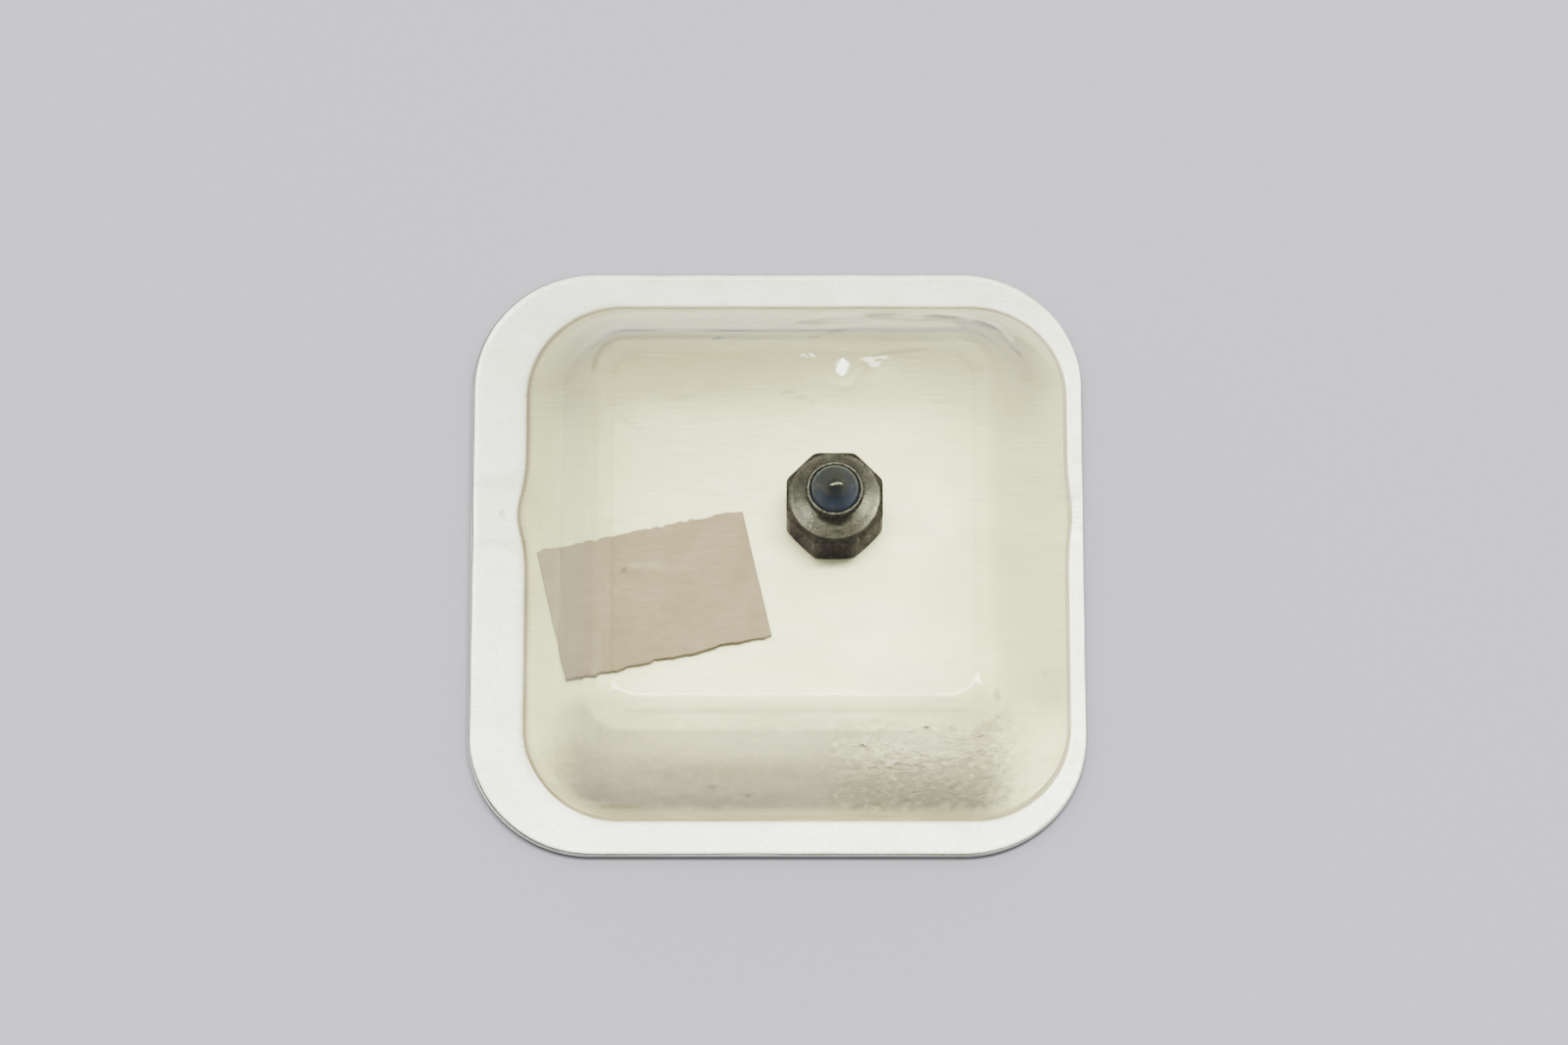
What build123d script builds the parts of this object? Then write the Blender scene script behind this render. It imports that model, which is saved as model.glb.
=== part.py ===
"""A spare watch crown sealed in a small blister pack, in millimetres.

A rounded-square aluminium plate carries a clear thermoformed dome, heat-sealed to it round a
flat flange. Under the dome an octagonal crown stands on its open end with its stone up,
beside a loose slip of anti-tarnish paper.

The origin is the middle of the plate's underside. +Z is up, and +Y is the pack's back edge.
"""
import os

from build123d import *

# Backing plate and seal
PACK_SIDE = 30.0
PACK_CORNER_R = 6.0
PLATE_T = 0.4
LACQUER_T = 0.03
VENT_Y = 2.4
LEFT_VENT_W = 2.6
RIGHT_VENT_W = 1.6

# Clear dome
FILM_T = 0.25
FOOT_X = 1.05
DOME_FOOT = 26.2
DOME_FOOT_R = 4.6
TOP_X = 0.8
DOME_TOP = 18.8
DOME_TOP_R = 1.4
DOME_TOP_Z = 6.25
DOME_TOP_FILLET = 0.6

# Paper slip
SLIP_SIZE = (10.0, 6.7)
SLIP_T = 0.3
SLIP_AT = (-5.95, -1.75)
SLIP_TURN = 12.6
SLIP_CORNER_R = 0.3

# Crown, on its own upright axis. Heights are above the plate.
CROWN_AT = (2.8, 2.46)
CROWN_SIDES = 8
ACROSS_FLATS = 4.7
PRISM_H = 2.6
PRISM_BEVEL_R = 2.2
PRISM_BEVEL_H = 0.35
MOUTH_CHAMFER = 0.12
NECK_R = 1.2
NECK_H = 3.2

# Recess for the case tube, with its gasket
SEAL_BORE_R = 1.65
SEAL_BORE_H = 1.55
TUBE_BORE_R = 1.35
TUBE_BORE_H = 2.1
GASKET_R = 1.39
GASKET_SECTION_R = 0.22
GASKET_H = 1.28
RETAINER_R = (1.2, 1.63)
RETAINER_H = (0.75, 1.0)

# Tapped post for the winding stem
POST_R = 0.7
POST_H = (0.3, 2.75)
POST_CHAMFER = 0.1
TAP_R = 0.45
TAP_DEPTH = 1.9
PRESS_CLEARANCE = 0.01

# Stone and its setting
COLLET_R = 1.46
COLLET_H = (3.2, 3.76)
COLLET_FLARE = 0.2
COLLET_FLOOR_H = 3.35
CEMENT_T = 0.05
STONE_R = 1.2
STONE_GIRDLE = 0.3
STONE_TOP_H = 4.7
STONE_CLEARANCE = 0.02

PLATE_TOP = PLATE_T
STONE_BASE_H = COLLET_FLOOR_H + CEMENT_T
STONE_RISE = STONE_TOP_H - STONE_BASE_H - STONE_GIRDLE
STONE_DOME_R = (STONE_R**2 + STONE_RISE**2) / (2 * STONE_RISE)
FLANGE_Z = PLATE_T + LACQUER_T
FLANGE_TOP = FLANGE_Z + FILM_T
WALL_RUN = (DOME_FOOT - DOME_TOP) / 2
WALL_RISE = DOME_TOP_Z - FLANGE_TOP
WALL_LEAN = WALL_RUN / WALL_RISE
WALL_ACROSS = FILM_T * (1 + WALL_LEAN**2) ** 0.5


def dome_width(z: float) -> float:
    """Outer width of the dome at height z, straight down its leaning walls."""
    return DOME_TOP + 2 * WALL_LEAN * (DOME_TOP_Z - z)


def cavity_width(z: float) -> float:
    """Width inside the dome at height z."""
    return dome_width(z) - 2 * WALL_ACROSS


def dome_x(z: float) -> float:
    """Middle of the dome at height z, which drifts from its foot to its top."""
    return TOP_X + (FOOT_X - TOP_X) * (DOME_TOP_Z - z) / WALL_RISE


def on_crown(height: float) -> Plane:
    """A level plane on the crown's axis, at a height above the plate."""
    return Plane((*CROWN_AT, PLATE_TOP + height))


CROWN_SECTION = Plane(origin=(*CROWN_AT, PLATE_TOP), x_dir=(1, 0, 0), z_dir=(0, -1, 0))
CROWN_AXIS = Axis((*CROWN_AT, 0), (0, 0, 1))
CAVITY_TOP = DOME_TOP_Z - FILM_T

# --- Pack ---------------------------------------------------------------------------------

with BuildPart() as backing_plate:
    with BuildSketch(Plane.XY):
        RectangleRounded(PACK_SIDE, PACK_SIDE, PACK_CORNER_R)
    extrude(amount=PLATE_T)

with BuildPart() as seal_lacquer:
    with BuildSketch(Plane.XY.offset(PLATE_TOP)):
        RectangleRounded(PACK_SIDE, PACK_SIDE, PACK_CORNER_R)
        with Locations((FOOT_X, 0)):
            RectangleRounded(DOME_FOOT, DOME_FOOT, DOME_FOOT_R, mode=Mode.SUBTRACT)
        with Locations((-PACK_SIDE / 2, VENT_Y)):
            Rectangle(PACK_SIDE / 2, LEFT_VENT_W, mode=Mode.SUBTRACT)
        with Locations((PACK_SIDE / 2, VENT_Y)):
            Rectangle(PACK_SIDE / 2, RIGHT_VENT_W, mode=Mode.SUBTRACT)
    extrude(amount=LACQUER_T)

with BuildPart() as dome_cavity:
    with BuildSketch(Plane.XY.offset(FLANGE_Z)):
        with Locations((dome_x(FLANGE_Z), 0)):
            RectangleRounded(cavity_width(FLANGE_Z), cavity_width(FLANGE_Z), DOME_FOOT_R)
    with BuildSketch(Plane.XY.offset(CAVITY_TOP)):
        with Locations((dome_x(CAVITY_TOP), 0)):
            RectangleRounded(cavity_width(CAVITY_TOP), cavity_width(CAVITY_TOP), DOME_TOP_R)
    loft(ruled=True)
    fillet(dome_cavity.edges().group_by(Axis.Z)[-1], radius=DOME_TOP_FILLET - FILM_T)

with BuildPart() as blister_dome:
    with BuildSketch(Plane.XY.offset(FLANGE_TOP)):
        with Locations((FOOT_X, 0)):
            RectangleRounded(DOME_FOOT, DOME_FOOT, DOME_FOOT_R)
    with BuildSketch(Plane.XY.offset(DOME_TOP_Z)):
        with Locations((TOP_X, 0)):
            RectangleRounded(DOME_TOP, DOME_TOP, DOME_TOP_R)
    loft(ruled=True)
    fillet(blister_dome.edges().group_by(Axis.Z)[-1], radius=DOME_TOP_FILLET)
    with BuildSketch(Plane.XY.offset(FLANGE_Z)):
        RectangleRounded(PACK_SIDE, PACK_SIDE, PACK_CORNER_R)
    extrude(amount=FILM_T)
    add(dome_cavity.part, mode=Mode.SUBTRACT)

with BuildPart() as paper_slip:
    with BuildSketch(Plane((*SLIP_AT, PLATE_TOP))):
        with Locations(Rotation(0, 0, SLIP_TURN)):
            RectangleRounded(*SLIP_SIZE, SLIP_CORNER_R)
    extrude(amount=SLIP_T)

# --- Crown --------------------------------------------------------------------------------

with BuildPart() as crown_cap:
    with BuildSketch(on_crown(0)):
        RegularPolygon(ACROSS_FLATS / 2, CROWN_SIDES, major_radius=False, rotation=180 / CROWN_SIDES)
    extrude(amount=NECK_H)
    # One turned outline trims the prism: chamfered mouth, bevelled shoulder, hollow flare, neck.
    with BuildSketch(CROWN_SECTION):
        with BuildLine():
            Polyline(
                (0, 0),
                (ACROSS_FLATS / 2 - MOUTH_CHAMFER, 0),
                (ACROSS_FLATS / 2 + MOUTH_CHAMFER, 2 * MOUTH_CHAMFER),
                (ACROSS_FLATS / 2 + MOUTH_CHAMFER * 2, PRISM_H - PRISM_BEVEL_H),
                (PRISM_BEVEL_R, PRISM_H),
            )
            ThreePointArc(
                (PRISM_BEVEL_R, PRISM_H),
                (NECK_R + 0.35 * (PRISM_BEVEL_R - NECK_R), PRISM_H + 0.35 * (NECK_H - PRISM_H)),
                (NECK_R, NECK_H),
            )
            Polyline((NECK_R, NECK_H), (0, NECK_H), (0, 0))
        make_face()
    revolve(axis=CROWN_AXIS, mode=Mode.INTERSECT)
    with BuildSketch(on_crown(0)):
        Circle(SEAL_BORE_R)
    extrude(amount=SEAL_BORE_H, mode=Mode.SUBTRACT)
    with BuildSketch(on_crown(0)):
        Circle(TUBE_BORE_R)
    extrude(amount=TUBE_BORE_H, mode=Mode.SUBTRACT)
    with BuildSketch(on_crown(0)):
        Circle(POST_R + PRESS_CLEARANCE)
    extrude(amount=POST_H[1], mode=Mode.SUBTRACT)

with BuildPart() as stem_post:
    with BuildSketch(on_crown(POST_H[0])):
        Circle(POST_R)
    extrude(amount=POST_H[1] - POST_H[0])
    chamfer(stem_post.edges().group_by(Axis.Z)[0], length=POST_CHAMFER)
    with BuildSketch(on_crown(POST_H[0])):
        Circle(TAP_R)
    extrude(amount=TAP_DEPTH, mode=Mode.SUBTRACT)

with BuildPart() as tube_gasket:
    with BuildSketch(CROWN_SECTION):
        with Locations((GASKET_R, GASKET_H)):
            Circle(GASKET_SECTION_R)
    revolve(axis=CROWN_AXIS)

with BuildPart() as gasket_retainer:
    with BuildSketch(on_crown(RETAINER_H[0])):
        Circle(RETAINER_R[1])
        Circle(RETAINER_R[0], mode=Mode.SUBTRACT)
    extrude(amount=RETAINER_H[1] - RETAINER_H[0])

with BuildPart() as stone_collet:
    with BuildSketch(CROWN_SECTION):
        with BuildLine():
            Polyline(
                (0, COLLET_H[0]),
                (NECK_R, COLLET_H[0]),
                (COLLET_R, COLLET_H[0] + COLLET_FLARE),
                (COLLET_R, COLLET_H[1]),
                (STONE_R + STONE_CLEARANCE, COLLET_H[1]),
                (STONE_R + STONE_CLEARANCE, COLLET_FLOOR_H),
                (0, COLLET_FLOOR_H),
                close=True,
            )
        make_face()
    revolve(axis=CROWN_AXIS)
    fillet(stone_collet.edges().group_by(Axis.Z)[-1].sort_by(SortBy.RADIUS)[-1], radius=0.1)

with BuildPart() as stone_cement:
    with BuildSketch(on_crown(COLLET_FLOOR_H)):
        Circle(STONE_R)
    extrude(amount=CEMENT_T)

with BuildPart() as cabochon_stone:
    with BuildSketch(CROWN_SECTION):
        with BuildLine():
            Polyline(
                (0, STONE_TOP_H),
                (0, STONE_BASE_H),
                (STONE_R, STONE_BASE_H),
                (STONE_R, STONE_TOP_H - STONE_RISE),
            )
            RadiusArc((STONE_R, STONE_TOP_H - STONE_RISE), (0, STONE_TOP_H), -STONE_DOME_R)
        make_face()
    revolve(axis=CROWN_AXIS)

# --- Files --------------------------------------------------------------------------------

PIECES = {
    "backing_plate": backing_plate,
    "seal_lacquer": seal_lacquer,
    "blister_dome": blister_dome,
    "paper_slip": paper_slip,
    "crown_cap": crown_cap,
    "stem_post": stem_post,
    "tube_gasket": tube_gasket,
    "gasket_retainer": gasket_retainer,
    "stone_collet": stone_collet,
    "stone_cement": stone_cement,
    "cabochon_stone": cabochon_stone,
}

os.makedirs("parts", exist_ok=True)
for piece_name, piece in PIECES.items():
    piece.part.label = piece_name
    export_step(piece.part, f"parts/{piece_name}.step")
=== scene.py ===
"""Looks for a spare watch crown sealed in a small blister pack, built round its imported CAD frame.

Lengths are millimetres in the frame's own axes until a mesh is finished, when `Workshop.finish`
scales it to metres. The plate's underside is z = 0, and the dome opens towards +Z.
"""
import logging
import math
from dataclasses import dataclass, field
from enum import Enum
from typing import Callable, Iterable, Optional, Sequence

import bmesh
import bpy
from mathutils import Matrix, Vector, noise


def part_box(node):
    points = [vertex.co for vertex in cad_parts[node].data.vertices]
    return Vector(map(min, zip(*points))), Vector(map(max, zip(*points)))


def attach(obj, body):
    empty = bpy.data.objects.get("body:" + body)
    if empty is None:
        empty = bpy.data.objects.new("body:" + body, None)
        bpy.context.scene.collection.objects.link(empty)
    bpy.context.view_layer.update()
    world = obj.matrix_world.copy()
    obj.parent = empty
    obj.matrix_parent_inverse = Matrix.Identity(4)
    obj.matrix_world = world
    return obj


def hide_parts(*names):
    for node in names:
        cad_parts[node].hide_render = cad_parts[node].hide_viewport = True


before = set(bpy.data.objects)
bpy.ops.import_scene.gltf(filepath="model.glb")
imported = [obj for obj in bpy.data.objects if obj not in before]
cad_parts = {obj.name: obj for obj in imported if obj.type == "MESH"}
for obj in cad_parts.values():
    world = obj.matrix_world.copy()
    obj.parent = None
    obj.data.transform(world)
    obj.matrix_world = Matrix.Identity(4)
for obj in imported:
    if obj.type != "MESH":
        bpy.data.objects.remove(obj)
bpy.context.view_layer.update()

LOG = logging.getLogger("blister_pack")
MM = 0.001

Point = tuple[float, float]
# Where `ease` starts and where it ends.
Ramp = tuple[float, float]
# The middle and the width of a `bell`.
Peak = tuple[float, float]
Shader = bpy.types.NodeSocket


# --- Small tools --------------------------------------------------------------------------


class Body(Enum):
    """The CAD bodies that pieces ride on."""

    PACK = "pack"
    DOME = "dome"
    SLIP = "slip"
    CROWN = "crown"


def srgb(code: str, alpha: float = 1.0) -> tuple[float, float, float, float]:
    """Turn an sRGB hex colour into linear values.

    Args:
        code: six hex digits, with or without a leading hash.
        alpha: the fourth value of the result.

    Returns:
        Linear red, green, blue and alpha.
    """
    digits = code.lstrip("#")
    values = [int(digits[i : i + 2], 16) / 255 for i in (0, 2, 4)]
    linear = [v / 12.92 if v <= 0.04045 else ((v + 0.055) / 1.055) ** 2.4 for v in values]
    return (*linear, alpha)


def per_mm(size: float) -> float:
    """Texture scale that makes one repeat or cell of a pattern this many millimetres wide."""
    return 1 / (size * MM)


def add(tree: bpy.types.NodeTree, kind: str, inputs: Optional[dict] = None, **settings) -> bpy.types.Node:
    """Add a node, set its properties, and fill or link its inputs.

    Args:
        tree: the node tree to add to.
        kind: the node's type name, without its "ShaderNode" start.
        inputs: input name or number to a value, or to an output socket to link from.
        settings: the node's own properties.

    Returns:
        The new node.
    """
    node = tree.nodes.new("ShaderNode" + kind)
    for name, value in settings.items():
        setattr(node, name, value)
    for key, value in (inputs or {}).items():
        if isinstance(value, bpy.types.NodeSocket):
            tree.links.new(value, node.inputs[key])
        else:
            node.inputs[key].default_value = value
    return node


def ease(low: float, high: float, value: float) -> float:
    """Smooth step from 0 at low to 1 at high, and the other way if low is the larger."""
    t = min(max((value - low) / (high - low), 0.0), 1.0)
    return t * t * (3 - 2 * t)


def bell(offset: float, width: float) -> float:
    """A smooth peak: 1 in its middle, and about a third at one width away from it."""
    return math.exp(-((offset / width) ** 2))


def soft_min(a: float, b: float, width: float) -> float:
    """The smaller of two lengths, with a round of this width where they cross."""
    h = max(width - abs(a - b), 0.0) / width
    return min(a, b) - h * h * width / 4


def ripple(x: float, y: float, size: float, seed: float = 0.0) -> float:
    """Smooth noise between about -1 and 1, whose lumps are `size` millimetres across."""
    return noise.noise(Vector((x / size, y / size, seed)))


def from_line(x: float, y: float, a: Point, b: Point) -> tuple[float, float]:
    """Distance of a point from a short line, and how far along it the nearest point is.

    Args:
        x: the point's x.
        y: the point's y.
        a: the line's first end.
        b: the line's second end.

    Returns:
        The distance, and the place along the line from 0 to 1.
    """
    dx, dy = b[0] - a[0], b[1] - a[1]
    along = ((x - a[0]) * dx + (y - a[1]) * dy) / (dx * dx + dy * dy)
    along = min(max(along, 0.0), 1.0)
    return math.hypot(x - a[0] - along * dx, y - a[1] - along * dy), along


def round_profile(corners: Sequence[tuple[float, float, float]], steps: int = 6) -> list[Point]:
    """Round the corners of an outline for turning.

    Args:
        corners: radius from the axis, height, and rounding radius of each corner in order.
        steps: how many pieces each rounding arc has.

    Returns:
        The outline's points, with an arc in place of each rounded corner.
    """
    points: list[Point] = []
    for i, (r, z, rounding) in enumerate(corners):
        if rounding <= 0 or i in (0, len(corners) - 1):
            points.append((r, z))
            continue
        here = Vector((r, z))
        back = (Vector(corners[i - 1][:2]) - here).normalized()
        ahead = (Vector(corners[i + 1][:2]) - here).normalized()
        half = back.angle(ahead) / 2
        middle = here + (back + ahead).normalized() * (rounding / math.sin(half))
        start = here + back * (rounding / math.tan(half)) - middle
        end = here + ahead * (rounding / math.tan(half)) - middle
        for step in range(steps + 1):
            spoke = start.slerp(end, step / steps) * start.length
            points.append(tuple(middle + spoke))
    return points


@dataclass
class Workshop:
    """Turns shaped meshes into finished pieces that ride on the frame."""

    made: list[str] = field(default_factory=list)

    def finish(
        self,
        name: str,
        mesh: bmesh.types.BMesh,
        material: bpy.types.Material,
        body: Body,
        replaced: Optional[str],
        slot: str,
        smooth_angle: float = 35.0,
    ) -> bpy.types.Object:
        """Scale a shaped mesh to metres, dress it and set it on its body.

        Args:
            name: the piece's name.
            mesh: the shape, in millimetres, which is freed.
            material: its finish.
            body: the CAD body that it rides on.
            replaced: the CAD node that it stands for, if any.
            slot: the record's material slot of its finish. Not used.
            smooth_angle: edges sharper than this many degrees stay sharp.

        Returns:
            The finished object.
        """
        for edge in mesh.edges:
            if len(edge.link_faces) == 2:
                edge.smooth = edge.calc_face_angle(0.0) < math.radians(smooth_angle)
        for face in mesh.faces:
            face.smooth = True
        bmesh.ops.scale(mesh, vec=(MM, MM, MM), verts=mesh.verts)
        data = bpy.data.meshes.new(name)
        mesh.to_mesh(data)
        mesh.free()
        data.materials.append(material)
        piece = bpy.data.objects.new(name, data)
        bpy.context.scene.collection.objects.link(piece)
        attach(piece, body.value)
        if replaced:
            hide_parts(replaced)
        self.made.append(name)
        LOG.info("%s: %d faces on %s", name, len(data.polygons), body.value)
        return piece


def turned(profile: Sequence[Point], centre: Vector, steps: int = 128) -> bmesh.types.BMesh:
    """Spin an outline round an upright axis into a closed shell.

    Args:
        profile: radius and height of each point. Ends on the axis, or a loop if it never meets it.
        centre: where the axis meets height 0.
        steps: how many facets a full turn has.

    Returns:
        The turned mesh, with its faces outwards.
    """
    mesh = bmesh.new()
    points = [mesh.verts.new((centre.x + r, centre.y, centre.z + z)) for r, z in profile]
    for a, b in zip(points, points[1:]):
        mesh.edges.new((a, b))
    if profile[0][0] > 0 and profile[-1][0] > 0:
        mesh.edges.new((points[-1], points[0]))
    bmesh.ops.spin(
        mesh,
        geom=mesh.verts[:] + mesh.edges[:],
        cent=centre,
        axis=(0, 0, 1),
        angle=math.tau,
        steps=steps,
        use_merge=True,
    )
    bmesh.ops.remove_doubles(mesh, verts=mesh.verts, dist=1e-5)
    bmesh.ops.recalc_face_normals(mesh, faces=mesh.faces)
    return mesh


# --- Finishes -----------------------------------------------------------------------------


@dataclass(frozen=True)
class Finish:
    """Base of every finish. A subclass links its nodes and returns a surface shader."""

    name: str = "finish"

    def build(self) -> bpy.types.Material:
        """Make the material.

        Returns:
            A material whose surface is this finish's shader.
        """
        material = bpy.data.materials.new(self.name)
        material.use_nodes = True
        tree = material.node_tree
        tree.nodes.clear()
        add(tree, "OutputMaterial", {"Surface": self.surface(tree)})
        return material

    def surface(self, tree: bpy.types.NodeTree) -> Shader:
        """Add the finish's nodes and return its shader."""
        raise NotImplementedError

    @staticmethod
    def place(tree: bpy.types.NodeTree, stretch: Sequence[float] = (1, 1, 1), turn: float = 0.0) -> Shader:
        """Object coordinates, stretched along the axes and turned about Z.

        Args:
            tree: the material's nodes.
            stretch: factor on each axis, where a small one draws a pattern out along it.
            turn: degrees about Z.

        Returns:
            The coordinates' socket.
        """
        spot = add(tree, "TexCoord").outputs["Object"]
        return add(
            tree,
            "Mapping",
            {"Vector": spot, "Scale": stretch, "Rotation": (0, 0, math.radians(turn))},
        ).outputs[0]

    @staticmethod
    def grain(tree: bpy.types.NodeTree, spot: Shader, size: float, detail: float = 3.0) -> Shader:
        """Noise with cells `size` millimetres wide, as a value socket."""
        inputs = {"Vector": spot, "Scale": per_mm(size), "Detail": detail, "Roughness": 0.6}
        return add(tree, "TexNoise", inputs).outputs["Fac"]

    @staticmethod
    def spread(tree: bpy.types.NodeTree, value: Shader, low: float, high: float) -> Shader:
        """Map a value's middle range, 0.3 to 0.7, to low and high."""
        inputs = {"Value": value, "From Min": 0.3, "From Max": 0.7, "To Min": low, "To Max": high}
        return add(tree, "MapRange", inputs).outputs[0]

    @staticmethod
    def painted(tree: bpy.types.NodeTree, name: str) -> Shader:
        """The mesh attribute of this name, as a value socket."""
        return add(tree, "Attribute", attribute_name=name).outputs["Fac"]

    @staticmethod
    def combined(
        tree: bpy.types.NodeTree,
        operation: str,
        first: Shader | float,
        second: Shader | float,
        clamp: bool = False,
    ) -> Shader:
        """Two values put together.

        Args:
            tree: the material's nodes.
            operation: the sum to do, such as "ADD".
            first: one value.
            second: the other.
            clamp: whether the result is kept between 0 and 1.

        Returns:
            The result's socket.
        """
        return add(tree, "Math", {0: first, 1: second}, operation=operation, use_clamp=clamp).outputs[0]

    @staticmethod
    def tint(
        tree: bpy.types.NodeTree, share: Shader, first: Sequence[float], second: Sequence[float]
    ) -> Shader:
        """Mix two colours by a share."""
        return add(tree, "Mix", {0: share, 6: first, 7: second}, data_type="RGBA").outputs[2]

    @staticmethod
    def bumped(
        tree: bpy.types.NodeTree, height: Shader, depth: float, normal: Optional[Shader] = None
    ) -> Shader:
        """Raise the surface by a height pattern.

        Args:
            tree: the material's nodes.
            height: the pattern, from 0 to 1.
            depth: millimetres from the pattern's low to its high.
            normal: an earlier relief that this one adds to.

        Returns:
            The raised normal's socket.
        """
        inputs = {"Height": height, "Distance": depth * MM, "Strength": 1.0}
        if normal is not None:
            inputs["Normal"] = normal
        return add(tree, "Bump", inputs).outputs[0]


@dataclass(frozen=True)
class ClearFilm(Finish):
    """Thermoformed PVC film: hard, glossy and clear, and yellowed by age.

    Light reaches what lies under it, so its shadow is only its tint. Its lumps and folds are in the
    mesh. The shader adds a faint bloom, stains and scuffs, painted shade on its walls, folds and foot,
    and painted light and shade over the hammered pits.
    """

    name: str = "thermoformed_clear_pvc"
    flange_colour: str = "#FCFEFA"
    colour: str = "#F5F6E3"
    wall_colour: str = "#E2E3C8"
    # Painted shade for the walls, the foot line and the hammered pits.
    painted_shade_colour: str = "#A8A49A"
    # Brown for stains, and for painted shade along folds, the foot and the back.
    stain_and_shade_colour: str = "#8A7048"
    ior: float = 1.53
    bloom_size: float = 2.5
    bloom: float = 0.15
    dent_size: float = 0.45
    dent_depth: float = 0.08
    pit_shade: float = 0.6
    haze_roughness: float = 0.3

    def surface(self, tree: bpy.types.NodeTree) -> Shader:
        """Glass that lets lamps through, tinted where the film is steep, marked or scratched, and darkened
        by painted shade.

        Args:
            tree: the material's nodes.

        Returns:
            The surface's shader.
        """
        spot = self.place(tree)
        steep, stain_and_shade, haze, painted_shade = (
            self.painted(tree, name) for name in ("steep", "stain_and_shade", "haze", "painted_shade")
        )
        bloom = self.spread(tree, self.grain(tree, spot, self.bloom_size, 1.0), -self.bloom, self.bloom)
        steep = self.combined(tree, "ADD", steep, bloom, clamp=True)
        flange = self.painted(tree, "flange")
        hammer = self.painted(tree, "hammer")
        dents = self.grain(tree, self.place(tree, (1, 1.3, 1)), self.dent_size, 2.0)
        beaten = self.combined(tree, "MULTIPLY", dents, hammer)
        # Painted light and shade over the hammered pits, added to the painted shade.
        pits = self.spread(tree, dents, self.pit_shade, -self.pit_shade)
        pits = self.combined(tree, "MULTIPLY", pits, hammer)
        painted_shade = self.combined(tree, "ADD", painted_shade, pits, clamp=True)
        top = self.tint(tree, flange, srgb(self.colour), srgb(self.flange_colour))
        clear = self.tint(tree, steep, top, srgb(self.wall_colour))
        # The film's tint darkened by painted shade.
        shaded = self.tint(tree, painted_shade, clear, srgb(self.painted_shade_colour))
        # Stains, with brown painted shade along folds, the foot and the back.
        marked = self.tint(tree, stain_and_shade, shaded, srgb(self.stain_and_shade_colour))
        matt = self.combined(tree, "MULTIPLY", haze, self.haze_roughness)
        glass = add(
            tree,
            "BsdfPrincipled",
            {
                "Base Color": marked,
                "Roughness": matt,
                "IOR": self.ior,
                "Transmission Weight": 1.0,
                "Normal": self.bumped(tree, beaten, self.dent_depth),
            },
        ).outputs[0]
        shade = add(tree, "BsdfTransparent", {"Color": marked}).outputs[0]
        lamp = add(tree, "LightPath").outputs["Is Shadow Ray"]
        return add(tree, "MixShader", {0: lamp, 1: glass, 2: shade}).outputs[0]


@dataclass(frozen=True)
class SealLacquer(Finish):
    """Heat-seal lacquer: a milky coat, uneven where the film has bonded to it."""

    name: str = "heat_seal_lacquer"
    colour: str = "#F2F2EA"
    cover: float = 0.07

    def surface(self, tree: bpy.types.NodeTree) -> Shader:
        """A thin pale coat, mixed with clear, in grains a fraction of a millimetre wide.

        Args:
            tree: the material's nodes.

        Returns:
            The surface's shader.
        """
        spot = self.place(tree)
        patch = self.spread(tree, self.grain(tree, spot, 0.16, 2.0), 0.0, 2 * self.cover)
        coat = add(
            tree,
            "BsdfPrincipled",
            {
                "Base Color": srgb(self.colour),
                "Roughness": 0.55,
                "IOR": 1.5,
                "Normal": self.bumped(tree, patch, 0.02),
            },
        ).outputs[0]
        clear = add(tree, "BsdfTransparent").outputs[0]
        return add(tree, "MixShader", {0: patch, 1: clear, 2: coat}).outputs[0]


@dataclass(frozen=True)
class SatinAluminium(Finish):
    """Rolled aluminium sheet: near white and satin, with rolling lines along X."""

    name: str = "rolled_satin_aluminium"
    light: str = "#F3F3EE"
    dark: str = "#DCDCD4"
    warm: str = "#E9E7D6"
    edge_shade: str = "#504E4A"

    def surface(self, tree: bpy.types.NodeTree) -> Shader:
        """Metal with lines drawn out along X, which are coarser than real ones so that they show, and
        painted shade on its cut sides.

        Args:
            tree: the material's nodes.

        Returns:
            The surface's shader.
        """
        cut = self.painted(tree, "cut")
        lines = self.grain(tree, self.place(tree, (0.07, 1, 1)), 0.13, 3.0)
        blotch = self.grain(tree, self.place(tree, (0.4, 1, 1)), 2.5)
        pits = self.grain(tree, self.place(tree), 0.22)
        colour = self.tint(tree, self.spread(tree, lines, 0, 1), srgb(self.dark), srgb(self.light))
        aged = self.spread(tree, self.grain(tree, self.place(tree, (0.3, 1, 1)), 1.6, 2.0), -0.2, 0.6)
        colour = self.tint(tree, aged, colour, srgb(self.warm))
        # Painted shade on the plate's cut sides.
        colour = self.tint(tree, cut, colour, srgb(self.edge_shade))
        relief = self.bumped(tree, pits, 0.006, self.bumped(tree, lines, 0.003))
        return add(
            tree,
            "BsdfPrincipled",
            {
                "Base Color": colour,
                "Metallic": 1.0,
                "Roughness": self.spread(tree, blotch, 0.4, 0.52),
                "Normal": relief,
            },
        ).outputs[0]


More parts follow.
